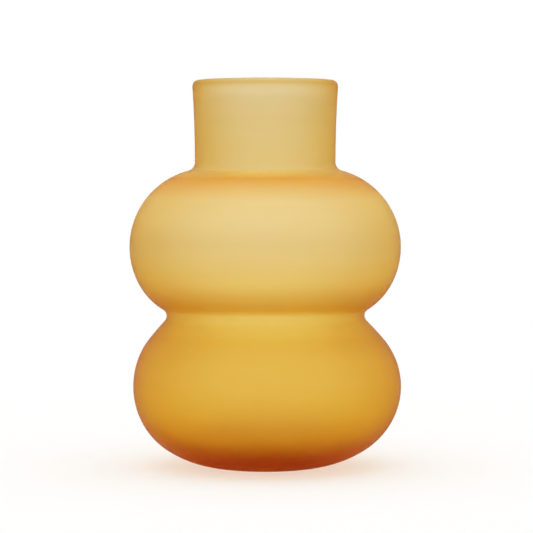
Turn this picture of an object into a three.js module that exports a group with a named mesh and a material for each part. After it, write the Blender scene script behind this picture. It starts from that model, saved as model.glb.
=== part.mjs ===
// A blown vase of frosted amber glass: two round bulbs, one on the other, under a straight open neck.
// Millimetres, +Z up. The origin is on the vase's axis, on the surface that it stands on.
import * as THREE from "three";

// Foot: the flat ring that the vase stands on, and the shallow dome pushed up inside it
const footRadius = 25;
const footRingWidth = 6;
const pushUpHeight = 2.5;

// Lower bulb: a round section carried about the axis, nearly straight from the given angle up to the waist
const lowerBulbRadius = 83.4;
const lowerBulbRound = 46.6;
const lowerBulbRise = 3.5;
const lowerShoulderRound = 248;
const lowerShoulderAngle = THREE.MathUtils.degToRad(40);

// Waist: its radius, and the round at the bottom of the groove
const waistRadius = 61.6;
const waistFillet = 4.6;

// Upper bulb: another round section, turning in more tightly below the given angle
const upperUndersideRound = 41.3;
const upperUndersideAngle = THREE.MathUtils.degToRad(-28.3);
const upperBulbRadius = 84.3;
const upperBulbRound = 49;

// Neck: nearly straight, opening a little towards the lip
const neckRadius = 43.7;
const neckFillet = 5.3;
const neckLength = 50.7;
const rimRadius = 45.2;

// Lip: melted round, with its crest set in from the outside by the given round
const lipHeight = 4;
const lipRound = 3.1;

// Glass: heavy at the floor, thinnest where the upper bulb's shoulder was blown out, drawn up thick at the lip
const floorThickness = 16;
const lowerBulbWall = 5;
const upperBulbWall = 3.2;
const upperShoulderWall = 2.6;
const upperShoulderRise = 33;
const neckWall = 3.4;
const lipWall = 5;
const lipDrop = 5;

// Facets: how finely the rounds are divided
const turnSteps = 48;
const pushUpSteps = 3;
const underbodySteps = 3;
const lowerBulbSteps = 9;
const lowerShoulderSteps = 2;
const waistSteps = 5;
const upperUndersideSteps = 3;
const upperBulbSteps = 10;
const neckFilletSteps = 4;
const neckSteps = 3;
const neckCrowding = 2;
const lipSteps = 3;

const frostedAmber = new THREE.MeshStandardMaterial({ color: 0xe0b55f, roughness: 0.55, metalness: 0 });

// Half sections are drawn with x as the distance from the axis and y as the height
function pointAbove(point, radius, distance) {
  const across = radius - point.x;
  return new THREE.Vector2(radius, point.y + Math.sqrt(distance ** 2 - across ** 2));
}

function spoke(angle, length) {
  return new THREE.Vector2(length * Math.cos(angle), length * Math.sin(angle));
}

function angleTo(from, to) {
  return Math.atan2(to.y - from.y, to.x - from.x);
}

// A round of the glass turns anticlockwise on the way up, a hollow fillet between rounds clockwise
function roundArc(centre, radius, start, end) {
  return new THREE.ArcCurve(centre.x, centre.y, radius, start, end, false);
}

function hollowArc(centre, radius, start, end) {
  return new THREE.ArcCurve(centre.x, centre.y, radius, start, end, true);
}

// Centres of the arcs, each resting on the one below so that they meet without a corner
function arcCentres() {
  const lower = new THREE.Vector2(lowerBulbRadius - lowerBulbRound, lowerBulbRise + lowerBulbRound);
  const inset = lower.x - footRadius;
  const underbodyRound = lowerBulbRound + (inset ** 2 + lowerBulbRise ** 2) / (2 * lowerBulbRise);
  const underbody = new THREE.Vector2(footRadius, underbodyRound);
  const shoulder = lower.clone().sub(spoke(lowerShoulderAngle, lowerShoulderRound - lowerBulbRound));
  const waist = pointAbove(shoulder, waistRadius + waistFillet, lowerShoulderRound + waistFillet);
  const shift = spoke(upperUndersideAngle, upperBulbRound - upperUndersideRound);
  const undersideRadius = upperBulbRadius - upperBulbRound + shift.x;
  const underside = pointAbove(waist, undersideRadius, upperUndersideRound + waistFillet);
  const upper = underside.clone().sub(shift);
  const neck = pointAbove(upper, neckRadius + neckFillet, upperBulbRound + neckFillet);
  return { underbody, underbodyRound, lower, shoulder, waist, underside, upper, neck };
}

const centres = arcCentres();
const neckTop = centres.neck.y + neckLength - lipHeight;

// Outside of the vase, from the foot ring's edge up to the start of the lip
function outsideCurves() {
  const { underbody, underbodyRound, lower, shoulder, waist, underside, upper, neck } = centres;
  const underbodyEnd = angleTo(underbody, lower);
  const shoulderEnd = angleTo(shoulder, waist);
  const undersideStart = angleTo(underside, waist);
  const neckStart = new THREE.Vector2(neckRadius, neck.y);
  const neckEnd = new THREE.Vector2(rimRadius, neckTop);
  const neckBend = new THREE.Vector2(neckRadius, (neck.y + neckTop) / 2);
  return [
    { steps: underbodySteps, curve: roundArc(underbody, underbodyRound, -Math.PI / 2, underbodyEnd) },
    { steps: lowerBulbSteps, curve: roundArc(lower, lowerBulbRound, underbodyEnd, lowerShoulderAngle) },
    { steps: lowerShoulderSteps, curve: roundArc(shoulder, lowerShoulderRound, lowerShoulderAngle, shoulderEnd) },
    { steps: waistSteps, curve: hollowArc(waist, waistFillet, angleTo(waist, shoulder), angleTo(waist, underside)) },
    {
      steps: upperUndersideSteps,
      curve: roundArc(underside, upperUndersideRound, undersideStart, upperUndersideAngle),
    },
    { steps: upperBulbSteps, curve: roundArc(upper, upperBulbRound, upperUndersideAngle, angleTo(upper, neck)) },
    { steps: neckFilletSteps, curve: hollowArc(neck, neckFillet, angleTo(neck, upper), Math.PI) },
    {
      steps: neckSteps,
      crowding: neckCrowding,
      curve: new THREE.QuadraticBezierCurve(neckStart, neckBend, neckEnd),
    },
  ];
}

// Points along the outside, each with the direction that leads out of the glass there.
// A curve's crowding brings its points closer together towards its end.
function outsideStations() {
  const stations = [];
  for (const { steps, curve, crowding = 1 } of outsideCurves()) {
    for (let step = 0; step < steps; step += 1) {
      const share = 1 - (1 - step / steps) ** crowding;
      const along = curve.getTangent(share);
      stations.push({ point: curve.getPoint(share), outward: new THREE.Vector2(along.y, -along.x) });
    }
  }
  return stations;
}

// Thickness of the wall at heights above the lower bulb's middle
const wallKeys = [
  { height: centres.lower.y, wall: lowerBulbWall },
  { height: centres.waist.y, wall: lowerBulbWall },
  { height: centres.upper.y, wall: upperBulbWall },
  { height: centres.upper.y + upperShoulderRise, wall: upperShoulderWall },
  { height: centres.neck.y, wall: neckWall },
  { height: neckTop - lipDrop, wall: neckWall },
  { height: neckTop, wall: lipWall },
];

function wallAt(height) {
  const above = wallKeys.findIndex((key) => height < key.height);
  if (above === 0) {
    return THREE.MathUtils.lerp(lowerBulbWall, floorThickness, (1 - height / centres.lower.y) ** 3);
  }
  if (above < 0) {
    return lipWall;
  }
  const low = wallKeys[above - 1];
  const high = wallKeys[above];
  return THREE.MathUtils.lerp(low.wall, high.wall, THREE.MathUtils.smoothstep(height, low.height, high.height));
}

function insidePoint({ point, outward }) {
  return point.clone().addScaledVector(outward, -wallAt(point.y));
}

// Dome under the foot, from the axis out to the inner edge of the foot ring
function pushUpPoints() {
  const edge = footRadius - footRingWidth;
  const domeRound = (edge ** 2 + pushUpHeight ** 2) / (2 * pushUpHeight);
  const centre = new THREE.Vector2(0, pushUpHeight - domeRound);
  const dome = hollowArc(centre, domeRound, Math.PI / 2, angleTo(centre, new THREE.Vector2(edge, 0)));
  return dome.getPoints(pushUpSteps);
}

// Lip melted round over the top of the wall, from the outside over its crest to the inside
function lipPoints() {
  const crest = rimRadius - lipRound;
  const outer = new THREE.EllipseCurve(crest, neckTop, lipRound, lipHeight, 0, Math.PI / 2);
  const inner = new THREE.EllipseCurve(crest, neckTop, lipWall - lipRound, lipHeight, Math.PI / 2, Math.PI);
  return [...outer.getPoints(lipSteps), ...inner.getPoints(lipSteps).slice(1)];
}

// The whole half section, from the axis under the foot round to the axis on the floor inside
function sectionPoints() {
  const stations = outsideStations();
  const outside = stations.map((station) => station.point);
  const inside = stations.map(insidePoint).reverse();
  const floorCentre = new THREE.Vector2(0, floorThickness);
  return [...pushUpPoints(), ...outside, ...lipPoints(), ...inside, floorCentre];
}

function glassBody() {
  const geometry = new THREE.LatheGeometry(sectionPoints(), turnSteps).rotateX(Math.PI / 2);
  const body = new THREE.Mesh(geometry, frostedAmber);
  body.name = "glass_body";
  return body;
}

const vase = new THREE.Group();
vase.add(glassBody());

export default vase;
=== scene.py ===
# A blown vase of frosted amber glass on a pale studio floor. Metres, +Z up.
import math

import bmesh
import bpy
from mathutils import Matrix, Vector


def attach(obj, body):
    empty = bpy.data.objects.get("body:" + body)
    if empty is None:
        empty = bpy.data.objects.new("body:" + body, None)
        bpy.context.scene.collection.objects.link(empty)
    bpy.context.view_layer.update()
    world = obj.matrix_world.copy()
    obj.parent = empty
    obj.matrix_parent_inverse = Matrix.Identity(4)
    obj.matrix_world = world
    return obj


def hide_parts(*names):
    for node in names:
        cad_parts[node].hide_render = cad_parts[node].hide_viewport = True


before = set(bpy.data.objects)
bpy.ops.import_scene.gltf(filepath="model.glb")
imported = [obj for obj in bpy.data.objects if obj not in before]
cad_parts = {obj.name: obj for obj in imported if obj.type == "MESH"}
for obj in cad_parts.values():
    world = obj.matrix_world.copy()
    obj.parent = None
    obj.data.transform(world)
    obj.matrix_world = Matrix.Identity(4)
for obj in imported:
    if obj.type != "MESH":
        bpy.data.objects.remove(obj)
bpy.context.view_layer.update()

MM = 0.001

# Sizes of the glass, the same as the solid's
FOOT_RADIUS = 25 * MM
FOOT_RING_WIDTH = 6 * MM
PUSH_UP_HEIGHT = 2.5 * MM
LOWER_BULB_RADIUS = 83.4 * MM
LOWER_BULB_ROUND = 46.6 * MM
LOWER_BULB_RISE = 3.5 * MM
LOWER_SHOULDER_ROUND = 248 * MM
LOWER_SHOULDER_ANGLE = math.radians(40)
WAIST_RADIUS = 61.6 * MM
WAIST_FILLET = 4.6 * MM
UPPER_UNDERSIDE_ROUND = 41.3 * MM
UPPER_UNDERSIDE_ANGLE = math.radians(-28.3)
UPPER_BULB_RADIUS = 84.3 * MM
UPPER_BULB_ROUND = 49 * MM
NECK_RADIUS = 43.7 * MM
NECK_FILLET = 5.3 * MM
NECK_LENGTH = 50.7 * MM
RIM_RADIUS = 45.2 * MM
LIP_HEIGHT = 4 * MM
LIP_ROUND = 3.1 * MM

# Thickness of the glass, and how quickly the heavy floor runs out into the lower bulb's wall. The wall is
# thinnest at the given rise above the upper bulb's middle, and thickens from the given drop below the lip.
FLOOR_THICKNESS = 16 * MM
FLOOR_TAPER = 3
LOWER_BULB_WALL = 5 * MM
UPPER_BULB_WALL = 3.2 * MM
UPPER_SHOULDER_WALL = 2.6 * MM
UPPER_SHOULDER_RISE = 33 * MM
NECK_WALL = 3.4 * MM
LIP_WALL = 5 * MM
LIP_DROP = 5 * MM

# How far the blown lower bulb stands off the axis, to the right of the photograph
LOWER_BULB_LEAN = 1.2 * MM

# How finely the glass is divided: the turn about the axis, and the length of a step along the section
TURN_STEPS = 192
SECTION_STEP = 2.2 * MM
LEAST_STEPS = 8

# The glass itself: the colour that it lets through, how strongly it takes the rest, and how it bends light
GLASS_COLOUR = (0.945, 0.785, 0)
GLASS_DENSITY = 160
GLASS_IOR = 1.25

# Tint of the frosted surface by height, with painted light and shade in it. It is deepest under the foot,
# partly the heavy glass's own deeper colour and partly painted shade. Painted shade darkens the crease above
# the waist, a ring round the foot of the neck, the neck itself and a band under the lip. Painted highlights
# make it palest in the waist's groove, on the upper bulb's shoulder, just above the neck's ring and on the
# lip's crest.
TINTS_AND_PAINTED_LIGHT = (
    # Foot and lower bulb, deeper towards the foot: partly the heavy glass's own deeper colour, partly painted
    # shade
    (0 * MM, (0.77, 0.53, 0.02)),
    (11 * MM, (1, 0.97, 0.48)),
    (24 * MM, (0.98, 0.92, 0.65)),
    (60 * MM, (0.95, 0.88, 0.72)),
    (82 * MM, (0.94, 0.86, 0.62)),
    # Painted highlight in the groove of the waist, and painted shade in the crease above it
    (86 * MM, (0.97, 0.95, 0.86)),
    (96.5 * MM, (0.99, 0.99, 1)),
    (100.5 * MM, (0.89, 0.73, 0.42)),
    # Upper bulb, with a painted highlight on its shoulder
    (115 * MM, (0.97, 0.94, 0.87)),
    (140 * MM, (0.92, 0.88, 0.88)),
    (166 * MM, (0.98, 0.97, 1)),
    # Painted shade in a ring round the foot of the neck, with a painted highlight just above it
    (174 * MM, (0.96, 0.84, 0.7)),
    (179.6 * MM, (0.96, 0.69, 0.3)),
    (180.4 * MM, (1, 1, 1)),
    # Neck, greyed with painted shade
    (185 * MM, (0.92, 0.93, 1)),
    (190 * MM, (0.92, 0.88, 0.84)),
    (236 * MM, (0.87, 0.83, 0.84)),
    # Lip: a band of painted shade under a painted highlight on its crest
    (237 * MM, (0.82, 0.71, 0.55)),
    (240 * MM, (1, 0.98, 0.9)),
)

# The etched finish: matt in soft patches, more so towards the foot, with a fine grain
LEAST_ROUGHNESS = 0.64
MOST_ROUGHNESS = 0.72
FOOT_ROUGHENING = 0.28
FOOT_FADE_HEIGHT = 15 * MM
PATCH_SIZE = 20 * MM
PATCH_DETAIL = 4
GRAIN_SIZE = 0.9 * MM
GRAIN_DEPTH = 0.03 * MM
GRAIN_DETAIL = 2

# Faint streaks of deeper colour, drawn out round the vase as it was blown
STREAK_LENGTH = 160 * MM
STREAK_HEIGHT = 9 * MM
STREAK_DETAIL = 3
STREAK_TINT = (0.975, 0.96, 0.93)

# Span of noise values that patches and streaks are spread over
NOISE_LOW = 0.3
NOISE_HIGH = 0.7

# The photograph's frame and where the vase stands in it, in the photograph's pixels, and the camera
PHOTO_SIZE = 533
AXIS_X = 265.2
VASE_PIXELS = 385.5
AIM_HEIGHT = 124.5 * MM
CAMERA_DISTANCE = 1.37
CAMERA_PITCH = math.radians(2.3)
SENSOR_WIDTH = 36

# The studio: a floor just under the foot, of which the given share shows plain white, and soft light
FLOOR_HALF = 6
FLOOR_DROP = 0.2 * MM
FLOOR_COLOUR = (0.9, 0.9, 0.9)
FLOOR_ROUGHNESS = 0.9
FLOOR_SHARE = 0.5
SKY_STRENGTH = 0.73
LAMP_STRENGTH = 1.2
LAMP_ANGLE = math.radians(70)


def point_above(point, radius, distance):
    across = radius - point.x
    return Vector((radius, point.y + math.sqrt(distance ** 2 - across ** 2)))


def angle_to(start, end):
    return math.atan2(end.y - start.y, end.x - start.x)


def spoke(angle):
    return Vector((math.cos(angle), math.sin(angle)))


# A stretch of the half section: points with x as the radius and y as the height, each with its way out
def arc(centre, radius, start, end):
    turn = math.copysign(1, end - start)
    steps = max(LEAST_STEPS, math.ceil(abs(end - start) * radius / SECTION_STEP))
    stations = []
    for step in range(steps):
        way = spoke(start + (end - start) * step / steps)
        stations.append((centre + radius * way, turn * way))
    return stations


def neck_wall(base, top):
    steps = math.ceil((top.y - base.y) / SECTION_STEP)
    stations = []
    for step in range(steps):
        share = step / steps
        point = Vector((base.x + (top.x - base.x) * share ** 2, base.y + (top.y - base.y) * share))
        along = Vector((2 * (top.x - base.x) * share, top.y - base.y)).normalized()
        stations.append((point, Vector((along.y, -along.x))))
    return stations


# Centres of the arcs, each resting on the one below so that they meet without a corner
def arc_centres():
    lower = Vector((LOWER_BULB_RADIUS - LOWER_BULB_ROUND, LOWER_BULB_RISE + LOWER_BULB_ROUND))
    inset = lower.x - FOOT_RADIUS
    underbody_round = LOWER_BULB_ROUND + (inset ** 2 + LOWER_BULB_RISE ** 2) / (2 * LOWER_BULB_RISE)
    underbody = Vector((FOOT_RADIUS, underbody_round))
    shoulder = lower - spoke(LOWER_SHOULDER_ANGLE) * (LOWER_SHOULDER_ROUND - LOWER_BULB_ROUND)
    waist = point_above(shoulder, WAIST_RADIUS + WAIST_FILLET, LOWER_SHOULDER_ROUND + WAIST_FILLET)
    shift = spoke(UPPER_UNDERSIDE_ANGLE) * (UPPER_BULB_ROUND - UPPER_UNDERSIDE_ROUND)
    underside_radius = UPPER_BULB_RADIUS - UPPER_BULB_ROUND + shift.x
    underside = point_above(waist, underside_radius, UPPER_UNDERSIDE_ROUND + WAIST_FILLET)
    upper = underside - shift
    neck = point_above(upper, NECK_RADIUS + NECK_FILLET, UPPER_BULB_ROUND + NECK_FILLET)
    return underbody, lower, shoulder, waist, underside, upper, neck


UNDERBODY, LOWER, SHOULDER, WAIST, UNDERSIDE, UPPER, NECK = arc_centres()
HEIGHT = NECK.y + NECK_LENGTH
NECK_TOP = HEIGHT - LIP_HEIGHT
PIXELS_PER_METRE = VASE_PIXELS / HEIGHT
WALLS = (
    (LOWER.y, LOWER_BULB_WALL),
    (WAIST.y, LOWER_BULB_WALL),
    (UPPER.y, UPPER_BULB_WALL),
    (UPPER.y + UPPER_SHOULDER_RISE, UPPER_SHOULDER_WALL),
    (NECK.y, NECK_WALL),
    (NECK_TOP - LIP_DROP, NECK_WALL),
    (NECK_TOP, LIP_WALL),
)


# Outside of the vase, from the foot ring up to where the lip starts
def outside_stations():
    full_turn = 2 * math.pi
    stations = arc(UNDERBODY, UNDERBODY.y, -math.pi / 2, angle_to(UNDERBODY, LOWER))
    stations += arc(LOWER, LOWER_BULB_ROUND, angle_to(UNDERBODY, LOWER), LOWER_SHOULDER_ANGLE)
    stations += arc(SHOULDER, LOWER_SHOULDER_ROUND, LOWER_SHOULDER_ANGLE, angle_to(SHOULDER, WAIST))
    stations += arc(WAIST, WAIST_FILLET, angle_to(WAIST, SHOULDER) + full_turn, angle_to(WAIST, UNDERSIDE))
    stations += arc(UNDERSIDE, UPPER_UNDERSIDE_ROUND, angle_to(UNDERSIDE, WAIST), UPPER_UNDERSIDE_ANGLE)
    stations += arc(UPPER, UPPER_BULB_ROUND, UPPER_UNDERSIDE_ANGLE, angle_to(UPPER, NECK))
    stations += arc(NECK, NECK_FILLET, angle_to(NECK, UPPER) + full_turn, math.pi)
    stations += neck_wall(Vector((NECK_RADIUS, NECK.y)), Vector((RIM_RADIUS, NECK_TOP)))
    return stations


def smooth_mix(low, high, share):
    return low + (high - low) * share ** 2 * (3 - 2 * share)


# The wall is heavy at the floor, thinnest where the upper bulb was blown out, and thick again at the lip
def wall_at(height):
    if height < LOWER.y:
        return LOWER_BULB_WALL + (FLOOR_THICKNESS - LOWER_BULB_WALL) * (1 - height / LOWER.y) ** FLOOR_TAPER
    for (low, low_wall), (high, high_wall) in zip(WALLS, WALLS[1:]):
        if height < high:
            return smooth_mix(low_wall, high_wall, (height - low) / (high - low))
    return LIP_WALL


# Dome under the foot, from next to the axis out to the inner edge of the foot ring
def push_up_points():
    edge = FOOT_RADIUS - FOOT_RING_WIDTH
    steps = math.ceil(edge / SECTION_STEP)
    shares = [step / steps for step in range(1, steps + 1)]
    return [Vector((edge * share, PUSH_UP_HEIGHT * (1 - share ** 2))) for share in shares]


# Lip melted round over the top of the wall, from the outside over its crest to the inside
def lip_points():
    crest = RIM_RADIUS - LIP_ROUND
    points = []
    for step in range(2 * LEAST_STEPS + 1):
        way = spoke(math.pi / 2 * step / LEAST_STEPS)
        reach = LIP_ROUND if way.x > 0 else LIP_WALL - LIP_ROUND
        points.append(Vector((crest + reach * way.x, NECK_TOP + LIP_HEIGHT * way.y)))
    return points


def floor_points(edge):
    steps = math.ceil(edge / SECTION_STEP)
    return [Vector((edge * (steps - step) / steps, FLOOR_THICKNESS)) for step in range(1, steps)]


# The half section without its two ends on the axis, from the foot's underside round to the floor inside
def section_points():
    stations = outside_stations()
    outside = [point for point, outward in stations]
    inside = [point - outward * wall_at(point.y) for point, outward in reversed(stations)]
    return push_up_points() + outside + lip_points() + inside + floor_points(FOOT_RADIUS)


# The lean is greatest at the lower bulb's middle, and fades out towards the foot and the waist
def lean_at(height):
    share = min(1, abs(height - LOWER.y) / LOWER.y)
    return LOWER_BULB_LEAN * math.cos(share * math.pi / 2)


def add_object(name, data):
    added = bpy.data.objects.new(name, data)
    bpy.context.scene.collection.objects.link(added)
    return added


def add_ring(mesh, point):
    lean = lean_at(point.y)
    ring = []
    for step in range(TURN_STEPS):
        way = spoke(2 * math.pi * step / TURN_STEPS)
        ring.append(mesh.verts.new((lean + point.x * way.x, point.x * way.y, point.y)))
    return ring


# The section carried round, and closed in the middle under the foot and on the floor inside
def make_vase(material):
    mesh = bmesh.new()
    under = mesh.verts.new((lean_at(PUSH_UP_HEIGHT), 0, PUSH_UP_HEIGHT))
    rings = [add_ring(mesh, point) for point in section_points()]
    over = mesh.verts.new((lean_at(FLOOR_THICKNESS), 0, FLOOR_THICKNESS))
    for step in range(TURN_STEPS):
        ahead = (step + 1) % TURN_STEPS
        mesh.faces.new((under, rings[0][ahead], rings[0][step]))
        mesh.faces.new((over, rings[-1][step], rings[-1][ahead]))
        for inner, outer in zip(rings, rings[1:]):
            mesh.faces.new((inner[step], inner[ahead], outer[ahead], outer[step]))
    for face in mesh.faces:
        face.smooth = True
    data = bpy.data.meshes.new("vase_glass")
    mesh.to_mesh(data)
    mesh.free()
    data.materials.append(material)
    return add_object("vase_glass", data)


def add_noise(tree, place, scale, detail):
    noise = tree.nodes.new("ShaderNodeTexNoise")
    noise.inputs["Scale"].default_value = scale
    noise.inputs["Detail"].default_value = detail
    tree.links.new(place, noise.inputs["Vector"])
    return noise.outputs["Fac"]


def add_range(tree, value, start, end, low, high):
    spread = tree.nodes.new("ShaderNodeMapRange")
    spread.inputs["From Min"].default_value = start
    spread.inputs["From Max"].default_value = end
    spread.inputs["To Min"].default_value = low
    spread.inputs["To Max"].default_value = high
    tree.links.new(value, spread.inputs["Value"])
    return spread.outputs["Result"]


def add_height(tree, place):
    axes = tree.nodes.new("ShaderNodeSeparateXYZ")
    tree.links.new(place, axes.inputs["Vector"])
    return axes.outputs["Z"]


# Colour of the frosted surface by its height, with the painted shade and painted highlights of the height
# table
def add_tint_and_painted_light(tree, place):
    tint_and_light = tree.nodes.new("ShaderNodeValToRGB")
    stops = tint_and_light.color_ramp.elements
    while len(stops) < len(TINTS_AND_PAINTED_LIGHT):
        stops.new(1)
    for stop, (height, colour) in zip(stops, TINTS_AND_PAINTED_LIGHT):
        stop.position = height / HEIGHT
        stop.color = (*colour, 1)
    tree.links.new(add_range(tree, add_height(tree, place), 0, HEIGHT, 0, 1), tint_and_light.inputs["Fac"])
    return tint_and_light.outputs["Color"]


def add_streaks(tree, place, colour):
    stretch = tree.nodes.new("ShaderNodeMapping")
    stretch.inputs["Scale"].default_value = (1 / STREAK_LENGTH, 1 / STREAK_LENGTH, 1 / STREAK_HEIGHT)
    tree.links.new(place, stretch.inputs["Vector"])
    noise = add_noise(tree, stretch.outputs["Vector"], 1, STREAK_DETAIL)
    streaks = tree.nodes.new("ShaderNodeMixRGB")
    streaks.blend_type = "MULTIPLY"
    streaks.inputs["Color2"].default_value = (*STREAK_TINT, 1)
    tree.links.new(add_range(tree, noise, NOISE_LOW, NOISE_HIGH, 0, 1), streaks.inputs["Fac"])
    tree.links.new(colour, streaks.inputs["Color1"])
    return streaks.outputs["Color"]


def add_roughness(tree, place):
    noise = add_noise(tree, place, 1 / PATCH_SIZE, PATCH_DETAIL)
    patches = add_range(tree, noise, NOISE_LOW, NOISE_HIGH, LEAST_ROUGHNESS, MOST_ROUGHNESS)
    foot = add_range(tree, add_height(tree, place), 0, FOOT_FADE_HEIGHT, FOOT_ROUGHENING, 0)
    roughness = tree.nodes.new("ShaderNodeMath")
    roughness.operation = "ADD"
    tree.links.new(patches, roughness.inputs[0])
    tree.links.new(foot, roughness.inputs[1])
    return roughness.outputs["Value"]


def add_grain(tree, place):
    grain = tree.nodes.new("ShaderNodeBump")
    grain.inputs["Distance"].default_value = GRAIN_DEPTH
    tree.links.new(add_noise(tree, place, 1 / GRAIN_SIZE, GRAIN_DETAIL), grain.inputs["Height"])
    return grain.outputs["Normal"]


def frosted_glass():
    material = bpy.data.materials.new("frosted_amber_glass")
    material.use_nodes = True
    tree = material.node_tree
    place = tree.nodes.new("ShaderNodeTexCoord").outputs["Object"]
    shader = tree.nodes["Principled BSDF"]
    shader.inputs["IOR"].default_value = GLASS_IOR
    shader.inputs["Transmission Weight"].default_value = 1
    # The base colour holds painted shade and painted highlights by height, under the streaks
    tree.links.new(add_streaks(tree, place, add_tint_and_painted_light(tree, place)), shader.inputs["Base Color"])
    tree.links.new(add_roughness(tree, place), shader.inputs["Roughness"])
    tree.links.new(add_grain(tree, place), shader.inputs["Normal"])
    absorption = tree.nodes.new("ShaderNodeVolumeAbsorption")
    absorption.inputs["Color"].default_value = (*GLASS_COLOUR, 1)
    absorption.inputs["Density"].default_value = GLASS_DENSITY
    tree.links.new(absorption.outputs["Volume"], tree.nodes["Material Output"].inputs["Volume"])
    return material


# One for what the camera sees, straight or by way of a reflection or the glass
def seen_through(tree):
    path = tree.nodes.new("ShaderNodeLightPath")
    seen = path.outputs["Is Camera Ray"]
    for name in ("Is Glossy Ray", "Is Transmission Ray"):
        either = tree.nodes.new("ShaderNodeMath")
        either.operation = "MAXIMUM"
        tree.links.new(seen, either.inputs[0])
        tree.links.new(path.outputs[name], either.inputs[1])
        seen = either.outputs["Value"]
    return seen


def pale_floor():
    material = bpy.data.materials.new("pale_floor")
    material.use_nodes = True
    tree = material.node_tree
    shader = tree.nodes["Principled BSDF"]
    shader.inputs["Base Color"].default_value = (*FLOOR_COLOUR, 1)
    shader.inputs["Roughness"].default_value = FLOOR_ROUGHNESS
    shader.inputs["Specular IOR Level"].default_value = 0
    glow = tree.nodes.new("ShaderNodeEmission")
    mix = tree.nodes.new("ShaderNodeMixShader")
    tree.links.new(add_range(tree, seen_through(tree), 0, 1, 0, FLOOR_SHARE), mix.inputs["Fac"])
    tree.links.new(shader.outputs["BSDF"], mix.inputs[1])
    tree.links.new(glow.outputs["Emission"], mix.inputs[2])
    tree.links.new(mix.outputs["Shader"], tree.nodes["Material Output"].inputs["Surface"])
    return material


def make_floor(material):
    corners = ((-1, -1), (1, -1), (1, 1), (-1, 1))
    points = [(x * FLOOR_HALF, y * FLOOR_HALF, -FLOOR_DROP) for x, y in corners]
    data = bpy.data.meshes.new("floor")
    data.from_pydata(points, [], [(0, 1, 2, 3)])
    data.materials.append(material)
    return add_object("floor", data)


# A sky that shows plain white, and lights what stands on the floor a little less
def make_world():
    world = bpy.data.worlds.new("studio")
    world.use_nodes = True
    tree = world.node_tree
    background = tree.nodes["Background"]
    background.inputs["Color"].default_value = (1, 1, 1, 1)
    strength = add_range(tree, seen_through(tree), 0, 1, SKY_STRENGTH, 1)
    tree.links.new(strength, background.inputs["Strength"])
    bpy.context.scene.world = world


# A wide soft light straight overhead, even all over the floor
def make_overhead_light():
    data = bpy.data.lights.new("overhead", "SUN")
    data.angle = LAMP_ANGLE
    data.energy = LAMP_STRENGTH
    add_object("overhead", data)


# The camera looks along +Y, a little down, at the point that the middle of the photograph shows
def make_camera():
    aim = Vector(((PHOTO_SIZE / 2 - AXIS_X) / PIXELS_PER_METRE, 0, AIM_HEIGHT))
    back = Vector((0, -math.cos(CAMERA_PITCH), math.sin(CAMERA_PITCH)))
    data = bpy.data.cameras.new("camera")
    data.sensor_width = SENSOR_WIDTH
    data.lens = SENSOR_WIDTH * CAMERA_DISTANCE * PIXELS_PER_METRE / PHOTO_SIZE
    camera = add_object("camera", data)
    camera.location = aim + back * CAMERA_DISTANCE
    camera.rotation_euler = (-back).to_track_quat("-Z", "Y").to_euler()
    bpy.context.scene.camera = camera


make_camera()
vase = make_vase(frosted_glass())
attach(vase, "root")
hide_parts("glass_body")
make_floor(pale_floor())
make_world()
make_overhead_light()
bpy.context.scene.view_settings.view_transform = "Standard"
